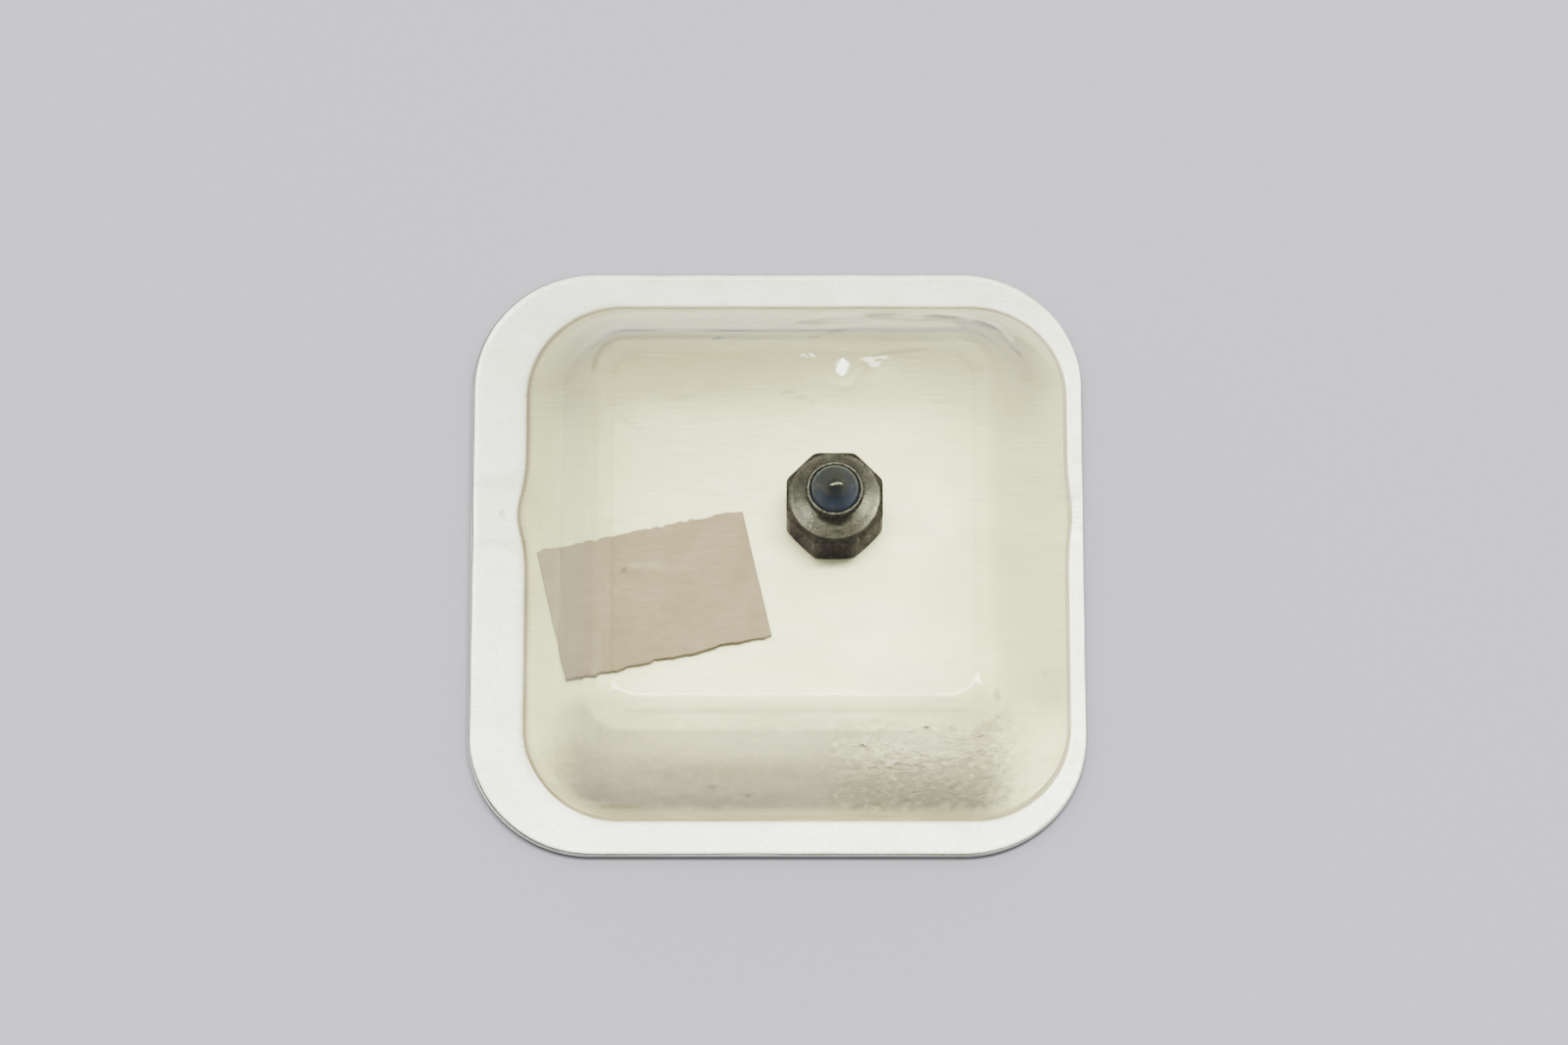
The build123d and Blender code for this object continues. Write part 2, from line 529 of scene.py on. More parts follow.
@dataclass(frozen=True)
class SlipPaper(Finish):
    """Uncoated anti-tarnish paper: soft, fibrous and pinkish beige."""

    name: str = "uncoated_beige_paper"
    light: str = "#B8A4A0"
    dark: str = "#A6928C"

    def surface(self, tree: bpy.types.NodeTree) -> Shader:
        """Matt paper with fibres drawn out along its length and a faint cloudiness.

        Args:
            tree: the material's nodes.

        Returns:
            The surface's shader.
        """
        fibre = self.grain(tree, self.place(tree, (0.25, 1, 1), -12.6), 0.18, 4.0)
        blotch = self.grain(tree, self.place(tree), 1.6)
        share = self.combined(tree, "MULTIPLY", fibre, blotch)
        share = add(tree, "MapRange", {"Value": share, "From Min": 0.12, "From Max": 0.4}).outputs[0]
        return add(
            tree,
            "BsdfPrincipled",
            {
                "Base Color": self.tint(tree, share, srgb(self.dark), srgb(self.light)),
                "Roughness": 0.92,
                "IOR": 1.45,
                "Sheen Weight": 0.15,
                "Normal": self.bumped(tree, fibre, 0.02),
            },
        ).outputs[0]


@dataclass(frozen=True)
class WornSteel(Finish):
    """Stainless steel, machined and then dulled by age: grey-brown, with bare bright edges."""

    name: str = "aged_machined_steel"
    film: str = "#38373C"
    bare: str = "#7B797E"
    grazing: str = "#9B979C"
    roughness: float = 0.28

    def surface(self, tree: bpy.types.NodeTree) -> Shader:
        """Metal that is dark and cloudy on its faces and lighter where the `edge` attribute is.

        Args:
            tree: the material's nodes.

        Returns:
            The surface's shader.
        """
        edge = self.painted(tree, "edge")
        blotch = self.grain(tree, self.place(tree), 0.7, 2.0)
        marks = self.grain(tree, self.place(tree, (1, 1, 0.15)), 0.12, 2.0)
        tarnish = self.spread(tree, blotch, 0.05, 0.4)
        share = self.combined(tree, "MAXIMUM", edge, tarnish)
        return add(
            tree,
            "BsdfPrincipled",
            {
                "Base Color": self.tint(tree, share, srgb(self.film), srgb(self.bare)),
                "Metallic": 1.0,
                "Specular Tint": srgb(self.grazing),
                "Roughness": self.spread(tree, marks, self.roughness * 0.85, self.roughness * 1.2),
                "Normal": self.bumped(tree, marks, 0.0008),
            },
        ).outputs[0]


@dataclass(frozen=True)
class BlueStone(Finish):
    """Synthetic spinel cabochon: dark navy, polished and clear, with a painted glow at its lower edge for
    light passing through it.
    """

    name: str = "polished_blue_spinel"
    heart: str = "#0B0F1C"
    painted_glow: str = "#22305A"

    def surface(self, tree: bpy.types.NodeTree) -> Shader:
        """Polished stone, bluer at its rim and front with a painted glow of light passing through it, and
        with hairline wear in its gloss.

        Args:
            tree: the material's nodes.

        Returns:
            The surface's shader.
        """
        rim = self.painted(tree, "rim")
        wear = self.grain(tree, self.place(tree), 0.2, 2.0)
        return add(
            tree,
            "BsdfPrincipled",
            {
                "Base Color": self.tint(tree, rim, srgb(self.heart), srgb(self.painted_glow)),
                "Roughness": self.spread(tree, wear, 0.08, 0.15),
                "IOR": 1.6,
            },
        ).outputs[0]


@dataclass(frozen=True)
class Plain(Finish):
    """A fine-grained solid such as rubber, cement or brass, with its own tone and bloom."""

    name: str = "plain"
    light: str = "#808080"
    dark: str = "#606060"
    metallic: float = 0.0
    roughness: float = 0.6
    ior: float = 1.5
    grain_size: float = 0.15
    relief: float = 0.004

    def surface(self, tree: bpy.types.NodeTree) -> Shader:
        """One tone, mottled towards another by a fine grain that also raises it.

        Args:
            tree: the material's nodes.

        Returns:
            The surface's shader.
        """
        mottle = self.grain(tree, self.place(tree), self.grain_size)
        colour = self.tint(tree, self.spread(tree, mottle, 0, 1), srgb(self.dark), srgb(self.light))
        inputs = {
            "Base Color": colour,
            "Metallic": self.metallic,
            "Roughness": self.roughness,
            "Normal": self.bumped(tree, mottle, self.relief),
        }
        if not self.metallic:
            inputs["IOR"] = self.ior
        return add(tree, "BsdfPrincipled", inputs).outputs[0]


# --- Backing plate, its lacquer and the film ----------------------------------------------


@dataclass(frozen=True)
class RoundedSquare:
    """A level rounded square, and where each spoke from its middle meets it."""

    half: float
    radius: float
    z: float
    x: float = 0.0

    def at(self, u: float, v: float) -> Vector:
        """Place a point of a square grid on this outline.

        Args:
            u: the grid point's x, from -1 to 1 over the whole grid.
            v: the grid point's y.

        Returns:
            The point of the outline on the same spoke, evenly spaced round each side.
        """
        reach = max(abs(u), abs(v))
        share = min(abs(u), abs(v)) / reach
        straight = self.half - self.radius
        run = share * (straight + self.radius * math.pi / 4)
        if run <= straight:
            out, side = self.half, run
        else:
            turn = (run - straight) / self.radius
            out = straight + self.radius * math.cos(turn)
            side = straight + self.radius * math.sin(turn)
        px, py = (out, side) if abs(u) >= abs(v) else (side, out)
        return Vector((self.x + math.copysign(px, u), math.copysign(py, v), self.z))


@dataclass
class BackingPlate:
    """The aluminium plate and the ring of lacquer on it."""

    side: float = 30.0
    corner: float = 6.0
    edge: float = 0.11
    lacquer_gap: float = 0.003
    lacquer_inner: float = 13.3
    ragged: float = 0.04
    foot_x: float = 1.05
    foot_radius: float = 4.6
    vent_y: float = 2.4
    vents: tuple[float, float] = (2.6, 1.6)
    ring_steps: int = 360

    def plate_mesh(self) -> bmesh.types.BMesh:
        """The plate, blanked from sheet, with its edges just broken.

        Returns:
            A closed mesh as thick as the CAD plate.
        """
        low, high = (corner.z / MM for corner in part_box("backing_plate"))
        mesh = bmesh.new()
        bmesh.ops.create_grid(mesh, x_segments=1, y_segments=1, size=self.side / 2)
        bmesh.ops.translate(mesh, vec=(0, 0, low), verts=mesh.verts)
        bmesh.ops.bevel(
            mesh,
            geom=mesh.verts[:],
            affect="VERTICES",
            offset=self.corner,
            offset_type="OFFSET",
            segments=32,
            profile=0.5,
            material=-1,
        )
        bmesh.ops.reverse_faces(mesh, faces=mesh.faces)
        raised = bmesh.ops.extrude_face_region(mesh, geom=mesh.faces[:])
        top = [item for item in raised["geom"] if isinstance(item, bmesh.types.BMVert)]
        bmesh.ops.translate(mesh, vec=(0, 0, high - low), verts=top)
        bmesh.ops.recalc_face_normals(mesh, faces=mesh.faces)
        rims = [e for e in mesh.edges if abs(e.verts[0].co.z - e.verts[1].co.z) < self.edge]
        bmesh.ops.bevel(
            mesh,
            geom=rims,
            affect="EDGES",
            offset=self.edge,
            segments=4,
            profile=0.5,
            material=-1,
        )
        # Marks the plate's sides, which get painted shade in the finish.
        cut = mesh.verts.layers.float.new("cut")
        for vert in mesh.verts:
            below_top = ease(high - 0.02, high - self.edge, vert.co.z)
            vert[cut] = below_top * ease(low, low + self.edge, vert.co.z)
        return mesh

    def lacquer_mesh(self) -> bmesh.types.BMesh:
        """The seal's lacquer ring, with a ragged inner edge, open at the two vents.

        Returns:
            Two thin closed pieces just over the plate.
        """
        low, high = (corner.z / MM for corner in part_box("seal_lacquer"))
        low, high = low + self.lacquer_gap, high - self.lacquer_gap
        outer = RoundedSquare(self.side / 2 - self.edge, self.corner - self.edge, low)
        inner = RoundedSquare(self.lacquer_inner, self.foot_radius, low, self.foot_x)
        mesh = bmesh.new()
        for outline, ragged in ((outer, 0.0), (inner, self.ragged)):
            ring = bmesh.ops.create_circle(mesh, segments=self.ring_steps, radius=1)["verts"]
            for vert in ring:
                u, v = vert.co.x, vert.co.y
                reach = max(abs(u), abs(v))
                spot = outline.at(*self.even(u / reach, v / reach))
                out = Vector((spot.x, spot.y, 0)).normalized()
                vert.co = spot - out * ragged * ripple(spot.x, spot.y, 0.7)
        bmesh.ops.bridge_loops(mesh, edges=mesh.edges[:])
        vents = []
        for face in mesh.faces:
            middle = face.calc_center_median()
            width = self.vents[middle.x > 0]
            if abs(middle.y - self.vent_y) < width / 2:
                vents.append(face)
        bmesh.ops.delete(mesh, geom=vents, context="FACES")
        raised = bmesh.ops.extrude_face_region(mesh, geom=mesh.faces[:])
        top = [item for item in raised["geom"] if isinstance(item, bmesh.types.BMVert)]
        bmesh.ops.translate(mesh, vec=(0, 0, high - low), verts=top)
        bmesh.ops.recalc_face_normals(mesh, faces=mesh.faces)
        return mesh

    @staticmethod
    def even(u: float, v: float) -> Point:
        """Space a circle's spokes evenly along the sides of the square round it.

        Args:
            u: x where the spoke meets the square, from -1 to 1.
            v: y where it does.

        Returns:
            The same spoke's place once all are evenly spaced along their side.
        """
        if abs(u) >= abs(v):
            return u, math.copysign(math.atan2(abs(v), abs(u)) * 4 / math.pi, v)
        return math.copysign(math.atan2(abs(u), abs(v)) * 4 / math.pi, u), v

    def build(self, workshop: Workshop) -> None:
        """Make the plate and the lacquer.

        Args:
            workshop: finishes the pieces.
        """
        workshop.finish(
            "plate_sheet",
            self.plate_mesh(),
            SatinAluminium().build(),
            Body.PACK,
            "backing_plate",
            "plate_aluminium",
        )
        workshop.finish(
            "lacquer_ring",
            self.lacquer_mesh(),
            SealLacquer().build(),
            Body.PACK,
            "seal_lacquer",
            "seal_lacquer",
        )


@dataclass(frozen=True)
class Mark:
    """A crease, scratch, dirt mark or line of painted shade on the film, along a short line.

    Lengths are millimetres, and height is negative where the line is pressed in.
    """

    start: Point
    end: Point
    width: float
    height: float = 0.0
    # How dark a mark is, in brown: dirt on specks, painted shade on fold lines.
    stain_and_shade: float = 0.0
    haze: float = 0.0

    def share(self, x: float, y: float) -> float:
        """How strongly the mark lies on a point. It fades off sideways and towards its ends.

        Args:
            x: the point's x.
            y: the point's y.

        Returns:
            A share from 0 to 1.
        """
        off, along = from_line(x, y, self.start, self.end)
        taper = 0.35 + 0.65 * math.sin(math.pi * min(max(along, 0.02), 0.98)) ** 0.5
        return bell(off, self.width * taper)


@dataclass(frozen=True)
class FilmPoint:
    """A point of the film as moulded, and the half width of the outline that it is on."""

    x: float
    y: float
    z: float
    half: float


@dataclass
class FilmDome:
    """The clear film: a flange, and a dome with a two-step fold round its top.

    The dome stands off the plate's middle, and its top leans a little back over it. Its back right
    fold has been pressed in, its front wall is hammered on the right, and an unsealed channel runs
    out through the flange at each side.
    """

    film: float = 0.25
    plate_half: float = 15.0
    plate_corner: float = 6.0
    foot_half: float = 13.1
    foot_corner: float = 4.6
    foot_x: float = 1.05
    top_half: float = 9.4
    top_corner: float = 1.4
    top_x: float = 0.8
    folds: tuple[float, float, float] = (8.75, 9.5, 10.2)
    fold_slopes: tuple[float, float] = (0.3, 0.95)
    creases: tuple[float, float, float, float] = (0.14, 0.36, 0.6, 0.22)
    rings: tuple[int, int, int, int, int] = (34, 24, 25, 14, 9)
    thin: float = 0.55
    usual_gauge: float = 0.55
    gauge_waver: float = 0.1
    fold_thinning: float = 0.05
    fold_width: float = 0.12
    bond_from: float = 0.2
    flange_from: float = 0.35
    # The bead round the foot, the fine line of painted shade outside it, and the flange's cut edge.
    bead: Peak = (0.05, 0.12)
    bead_height: float = 0.05
    line: Peak = (0.14, 0.045)
    trim: float = 0.08
    trim_waver: float = 0.03
    # The unsealed channels through the flange, and the foot's bulges into them.
    vent_y: float = 2.4
    channel_gap: float = 0.035
    channel_sides: tuple[Ramp, Ramp] = ((2.3, 1.0), (1.5, 0.6))
    channel_ends: tuple[Ramp, Ramp, Ramp] = ((-15.6, -14.2), (-11.2, -12.6), (13.4, 14.2))
    flares: tuple[float, float] = (-0.4, 0.2)
    flare_ends: tuple[Ramp, Ramp] = ((12.3, 13.1), (14.9, 13.6))
    # The front wall's painted shade and hammering, and the fainter painted shade of the back and right
    # walls, with a line and a band of it along the back.
    shade_front: Ramp = (-8.0, -9.3)
    shade_steps: tuple[float, float, float] = (0.5, 0.0, 0.5)
    shade_sides: tuple[Ramp, Ramp] = ((12.0, 9.6), (-12.0, -9.0))
    shade_back: Ramp = (7.5, 9.5)
    shade_right: Ramp = (8.5, 10.0)
    back_from: float = 8.0
    back_line: Peak = (9.75, 0.16)
    back_line_left: Ramp = (2.0, -3.0)
    back_band: Peak = (11.3, 0.8)
    hammer_edge: Ramp = (2.55, 2.75)
    hammer_left: float = 0.3
    hammer_end: Ramp = (13.2, 10.8)
    hammer_front: Ramp = (-9.0, -9.8)
    # Painted light at the front wall's right corner, which pales its tint.
    lit_corner: tuple[Ramp, Ramp] = ((8.8, 11.0), (-6.5, -9.5))
    pimple_front: float = -9.4
    pimple_size: float = 0.5
    pimple_rise: float = 0.22
    pimple_floor: float = 0.32
    # The pressed-in fold at the back right, with a round dent and a flat facet in it.
    press_from: float = 6.6
    press_skew: float = 2.3
    press_turn: Ramp = (1.0, 5.2)
    press_ends: tuple[Ramp, Ramp] = ((1.2, 5.4), (11.6, 9.4))
    press_fall: float = 0.78
    press_round: float = 0.5
    dent_at: Point = (4.35, 8.0)
    dent_size: tuple[float, float] = (0.9 * math.sqrt(2), 0.75 * math.sqrt(2))
    dent_depth: float = 0.42
    facet_at: Point = (3.17, 7.99)
    facet_size: tuple[float, float] = (0.5, 0.8)
    facet_slopes: tuple[float, float] = (-0.227, 0.0825)
    facet_drop: float = 0.3
    looks: tuple[str, ...] = ("steep", "flange", "painted_shade", "hammer", "stain_and_shade", "haze")
    # The first four marks darken the dent's creases; the next four lay painted shade along the pressed
    # fold's edge, and the ninth along the front fold. The rest are a scratch and dirt.
    marks: tuple[Mark, ...] = (
        Mark((0.1, 6.8), (1.8, 6.15), 0.14, 0.02, 0.3),
        Mark((3.7, 7.3), (5.1, 8.8), 0.14, 0.02, 0.25),
        Mark((5.1, 8.8), (7.2, 9.0), 0.12, 0.01, 0.3),
        Mark((8.9, 9.5), (10.0, 9.1), 0.09, -0.03, 0.1),
        Mark((1.2, 11.3), (5.6, 12.2), 0.5, 0.1, 0.16),
        Mark((4.6, 12.1), (8.6, 11.8), 0.5, 0.14, 0.2),
        Mark((7.6, 12.0), (10.8, 10.9), 0.45, 0.14, 0.2),
        Mark((9.9, 11.4), (11.8, 9.6), 0.4, 0.1, 0.16),
        Mark((-7.2, -9.45), (9.2, -9.4), 0.14, -0.03, 0.38),
        Mark((-7.3, -2.1), (-3.7, -2.3), 0.14, 0.0, 0.0, 0.35),
        Mark((-7.45, -2.45), (-7.38, -2.4), 0.08, 0.0, 0.9),
        Mark((-7.7, 5.5), (-6.6, 4.75), 0.14, 0.0, 0.25),
        Mark((10.5, -8.3), (10.62, -8.9), 0.12, 0.0, 0.75),
        Mark((-8.5, -12.75), (-6.5, -12.78), 0.08, 0.0, 0.5),
        Mark((-2.95, 9.6), (-2.75, 9.65), 0.16, 0.03, 0.3),
        Mark((12.9, -6.35), (13.0, -6.5), 0.07, 0.0, 0.6),
        Mark((-13.15, 2.35), (-13.1, 2.55), 0.12, 0.02, 0.3),
    )

    def __post_init__(self) -> None:
        """Read the film's heights from the frame."""
        low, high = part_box("blister_dome")
        self.flange_z = low.z / MM + self.film
        self.top_z = high.z / MM
        drop = self.top_z - self.flange_z
        for slope, start, end in zip(self.fold_slopes, self.folds, self.folds[1:]):
            drop -= slope * (end - start)
        self.wall_slope = drop / (self.foot_half - self.folds[-1])

    def slope(self, half: float) -> float:
        """How steeply the film falls where its outline is this wide, as drop over run.

        Args:
            half: the outline's half width.

        Returns:
            The slope, 0 on the level top and on the flange.
        """
        turns = (*self.folds, self.foot_half)
        slopes = (0.0, *self.fold_slopes, self.wall_slope, 0.0)
        result = 0.0
        for turn, width, before, after in zip(turns, self.creases, slopes, slopes[1:]):
            result += ease(turn - width, turn + width, half) * (after - before)
        return result

    def outlines(self) -> list[RoundedSquare]:
        """The film's outer outlines, from its middle out to the flange's edge.

        Returns:
            One outline for each ring of the mesh.
        """
        stops = (0.0, 8.4, 10.5, 12.75, self.foot_half + self.flange_from, self.plate_half)
        halves = [0.0]
        for start, stop, count in zip(stops, stops[1:], self.rings):
            halves += [start + (stop - start) * (i + 1) / count for i in range(count)]
        falls = [0.0]
        for a, b in zip(halves, halves[1:]):
            inner = [self.slope(a + (b - a) * (i + 0.5) / 8) for i in range(8)]
            falls.append(falls[-1] + sum(inner) / 8 * (b - a))
        rings = []
        for half, fall in zip(halves, falls):
            z = self.top_z - (self.top_z - self.flange_z) * fall / falls[-1]
            rings.append(RoundedSquare(half, self.corner_at(half), z, self.middle_at(half)))
        return rings

    def corner_at(self, half: float) -> float:
        """Corner radius of the outline this wide.

        Args:
            half: the outline's half width.

        Returns:
            The radius.
        """
        if half <= self.top_half:
            return self.top_corner * half / self.top_half
        if half <= self.foot_half:
            share = (half - self.top_half) / (self.foot_half - self.top_half)
            return self.top_corner + share * (self.foot_corner - self.top_corner)
        share = (half - self.foot_half) / (self.plate_half - self.foot_half)
        return self.foot_corner + share * (self.plate_corner - self.foot_corner)

    def middle_at(self, half: float) -> float:
        """Middle of the outline this wide, along X.

        Args:
            half: the outline's half width.

        Returns:
            Its x.
        """
        if half <= self.top_half:
            return self.top_x
        if half <= self.foot_half:
            share = (half - self.top_half) / (self.foot_half - self.top_half)
            return self.top_x + share * (self.foot_x - self.top_x)
        return self.foot_x * (self.plate_half - half) / (self.plate_half - self.foot_half)

    def pressed(self, at: FilmPoint) -> float:
        """Height of the film once its back right fold has been pressed in.

        Args:
            at: the point.

        Returns:
            Its height after pressing.
        """
        start = self.press_from + self.press_skew * ease(*self.press_turn, at.x)
        left, right = self.press_ends
        fall = self.press_fall * ease(*left, at.x) * ease(*right, at.x)
        floor = at.z + 1
        if at.y >= start - 1 and fall >= 0.01:
            floor = self.top_z + 0.1 - fall * (at.y - start) + 0.05 * ripple(at.x, at.y, 1.4, 3.0)
        dx, dy = at.x - self.dent_at[0], at.y - self.dent_at[1]
        off = math.hypot(dx / self.dent_size[0], dy / self.dent_size[1])
        dent = self.dent_depth * bell(off, 1.0) * ease(4.5, 5.5, at.z)
        bent = soft_min(at.z, floor, self.press_round) - dent
        dx, dy = at.x - self.facet_at[0], at.y - self.facet_at[1]
        facet = ease(1.5, 0.75, math.hypot(dx / self.facet_size[0], dy / self.facet_size[1]))
        flat = self.top_z - self.facet_drop + self.facet_slopes[0] * dx + self.facet_slopes[1] * dy
        return bent + facet * (flat - bent)

    def hammered(self, at: FilmPoint) -> float:
        """How strongly the front wall is hammered: fully right of a sharp line, faintly left of it.

        Args:
            at: the point.

        Returns:
            A share from 0 to 1.
        """
        low = ease(self.flange_z + 0.1, self.flange_z + 0.5, at.z)
        high = ease(self.top_z - 0.4, self.top_z - 1, at.z)
        across = self.hammer_left + (1 - self.hammer_left) * ease(*self.hammer_edge, at.x)
        return low * high * across * ease(*self.hammer_end, at.x) * ease(*self.hammer_front, at.y)

    def pimples(self, at: FilmPoint) -> float:
        """Scattered raised specks on the front wall.

        Args:
            at: the point.

        Returns:
            How far a speck raises the film.
        """
        if at.y > self.pimple_front or at.z < self.flange_z + 0.3:
            return 0.0
        lump = ripple(at.x, at.y * 1.5, self.pimple_size, 23.0)
        return self.pimple_rise * max(lump - self.pimple_floor, 0.0)

    def front_shade(self, at: FilmPoint) -> float:
        """How much painted shade the front wall has. It starts sharply at its folds.

        Args:
            at: the point.

        Returns:
            A share from 0 to 1.
        """
        share = 0.0
        for step, turn in zip(self.shade_steps, self.folds):
            share += step * ease(turn - 0.08, turn + 0.08, at.half)
        right, left = self.shade_sides
        share *= ease(*right, at.x) * ease(*left, at.x) * ease(*self.shade_front, at.y)
        return share * ease(self.foot_half, self.foot_half - 0.5, at.half)

    def faint_shade(self, at: FilmPoint) -> float:
        """How much painted shade the back and right walls have, with a darker band half way up the back
        one.

        Args:
            at: the point.

        Returns:
            A share from 0 to 1.
        """
        band = bell(at.half - self.back_band[0], self.back_band[1]) * ease(5.0, 10.0, at.y)
        share = 0.2 * ease(*self.shade_back, at.y) + 0.12 * ease(*self.shade_right, at.x) + 0.28 * band
        end = ease(self.foot_half + 0.1, self.foot_half - 0.2, at.half)
        return share * ease(9.3, 9.9, at.half) * end

    def waves(self, at: FilmPoint) -> float:
        """The slow unevenness of a thin film, strongest on the dome's flat top.

        Args:
            at: the point.

        Returns:
            How far it raises the film.
        """
        top = ease(self.flange_z + 0.5, self.top_z - 0.2, at.z)
        slow = 0.022 * ripple(at.x, at.y, 6.0, 1.0) + 0.003 * ripple(at.x, at.y, 1.8, 2.0)
        drawn = 0.012 * ripple(at.x * 4, at.y * 0.5, 2.0, 5.0) * ease(self.top_z, self.top_z - 1.5, at.z)
        return top * slow + drawn * ease(self.flange_z, self.flange_z + 1, at.z)

    def gauge(self, at: FilmPoint) -> float:
        """Thickness of the film between its thinnest and its full gauge.

        Args:
            at: the point.

        Returns:
            A share from 0 to 1: less where the film was drawn thin over a fold, more at a speck,
            which leaves the inner face smooth, and full at the foot and on the flange.
        """
        if at.half > self.foot_half + self.bond_from:
            return 1.0
        share = self.usual_gauge + self.gauge_waver * ripple(at.x, at.y, 3.0, 17.0)
        share += self.pimples(at) / (self.film * (1 - self.thin))
        for turn in self.folds:
            share -= self.fold_thinning * bell(at.half - turn, self.fold_width)
        share += ease(self.foot_half - 0.1, self.foot_half + self.bond_from, at.half)
        return min(max(share, 0.0), 1.0)

    def channel(self, at: FilmPoint) -> float:
        """How far the flange stands off the plate over the two unsealed channels.

        Args:
            at: the point.

        Returns:
            The gap.
        """
        off = abs(at.y - self.vent_y)
        wide, narrow = self.channel_sides
        outer, inner, far = self.channel_ends
        left = ease(*wide, off - 0.35 * max(at.x + 13.6, 0)) * ease(*inner, at.x) * ease(*outer, at.x)
        return self.channel_gap * (left + ease(*narrow, off) * ease(*far, at.x))

    def flare(self, at: FilmPoint) -> float:
        """How far the foot bulges sideways into the two unsealed channels.

        Args:
            at: the point.

        Returns:
            The shift along X.
        """
        inner, outer = self.flare_ends
        near_foot = ease(*inner, at.half) * ease(*outer, at.half)
        reach = self.flares[at.x > 0]
        return reach * near_foot * bell(at.y - self.vent_y, 1.5) * (abs(at.x) > 9)

    def foot_line(self, half: float) -> tuple[float, float]:
        """The bead where the wall meets the flange, and the fine line of painted shade just outside it.

        Args:
            half: half width of the outline.

        Returns:
            How strong the bead and the line are there, from 0 to 1.
        """
        off = half - self.foot_half
        return bell(off - self.bead[0], self.bead[1]), bell(off - self.line[0], self.line[1])

    def back_shade(self, at: FilmPoint) -> float:
        """How much brown painted shade lies on the back fold's line and on the band under it. The line is
        darker on the left.

        Args:
            at: the point.

        Returns:
            A share from 0 to 1.
        """
        if at.y <= self.back_from:
            return 0.0
        line = bell(at.half - self.back_line[0], self.back_line[1])
        band = bell(at.half - self.back_band[0], self.back_band[1])
        return (0.12 + 0.3 * ease(*self.back_line_left, at.x)) * line + 0.12 * band

    def looks_at(self, at: FilmPoint) -> dict[str, float]:
        """What the film's surface is like at a point.

        Args:
            at: the point.

        Returns:
            A value for each of `looks`.
        """
        # Painted light at the front right corner, which pales the wall's tint.
        beside, below = self.lit_corner
        corner_light = 0.5 * ease(*beside, at.x) * ease(*below, at.y)
        # Painted shade on the walls: the front wall's, or the fainter one of the back and right walls.
        blotch = self.faint_shade(at) if at.y > self.shade_front[0] else self.front_shade(at)
        bead, line = self.foot_line(at.half)
        # Brown painted shade at the foot's bead and line and along the back fold; the marks below add dirt
        # and more painted shade.
        stain_and_shade = 0.1 * bead + 0.4 * line + self.back_shade(at)
        bonded = ease(self.foot_half + self.bond_from, self.foot_half + 0.45, at.half)
        haze = 0.5 * bonded * ease(0.03, 0.0, self.channel(at))
        for mark in self.marks:
            share = mark.share(at.x, at.y)
            stain_and_shade = max(stain_and_shade, mark.stain_and_shade * share)
            haze = max(haze, mark.haze * share)
        return {
            "steep": (1 - corner_light) * min(self.slope(at.half) / self.wall_slope, 1.0) ** 0.4,
            "flange": ease(self.foot_half, self.foot_half + 0.3, at.half),
            "painted_shade": blotch + 0.15 * bead + 0.8 * line,
            "hammer": self.hammered(at),
            "stain_and_shade": stain_and_shade,
            "haze": haze,
        }

    def rise(self, at: FilmPoint) -> float:
        """How far the film stands over its moulded shape.

        Args:
            at: the point.

        Returns:
            The rise, never over the dome's top.
        """
        rise = self.channel(at)
        if at.half <= self.foot_half + self.bond_from:
            rise *= at.z < self.flange_z + 0.4
            rise += self.pressed(at) - at.z + self.pimples(at) + self.waves(at)
        rise += self.bead_height * self.foot_line(at.half)[0]
        rise += sum(mark.height * mark.share(at.x, at.y) for mark in self.marks)
        return min(rise, self.top_z - at.z)

    def moved(self, at: FilmPoint) -> Vector:
        """Where a point ends up once the vents bulge and the flange's edge is cut unevenly.

        Args:
            at: the point.

        Returns:
            Its final place.
        """
        start = self.foot_half + self.flange_from
        share = max(at.half - start, 0.0) / (self.plate_half - start)
        cut = share * (self.trim + self.trim_waver * ripple(at.x, at.y, 2.2, 9.0))
        inwards = Vector((at.x, at.y, 0)).normalized() * -cut
        return Vector((at.x + self.flare(at), at.y, at.z + self.rise(at))) + inwards

    def mesh(self) -> bmesh.types.BMesh:
        """The film's outer face, with its stains, painted shade, haze and steepness as attributes.

        Returns:
            An open sheet that a Solidify modifier gives its thickness.
        """
        rings = self.outlines()
        count = len(rings) - 1
        mesh = bmesh.new()
        bmesh.ops.create_grid(mesh, x_segments=2 * count, y_segments=2 * count, size=1)
        layers = {key: mesh.verts.layers.float.new(key) for key in self.looks}
        gauges = mesh.verts.layers.deform.verify()
        for vert in mesh.verts:
            u, v = vert.co.x, vert.co.y
            ring = rings[round(max(abs(u), abs(v)) * count)]
            spot = ring.at(u, v) if ring.half else Vector((ring.x, 0, ring.z))
            at = FilmPoint(*spot, ring.half)
            for key, value in self.looks_at(at).items():
                vert[layers[key]] = value
            vert[gauges][0] = self.gauge(at)
            vert.co = self.moved(at)
        return mesh

    def build(self, workshop: Workshop) -> None:
        """Make the film.

        Args:
            workshop: finishes the piece.
        """
        piece = workshop.finish(
            "clear_dome",
            self.mesh(),
            ClearFilm().build(),
            Body.DOME,
            "blister_dome",
            "clear_film",
            smooth_angle=180,
        )
        piece.vertex_groups.new(name="film")
        wall = piece.modifiers.new("film_thickness", "SOLIDIFY")
        wall.thickness = self.film * MM
        wall.offset = -1
        wall.use_rim = True
        wall.vertex_group = "film"
        wall.thickness_vertex_group = self.thin


# --- Paper slip ---------------------------------------------------------------------------


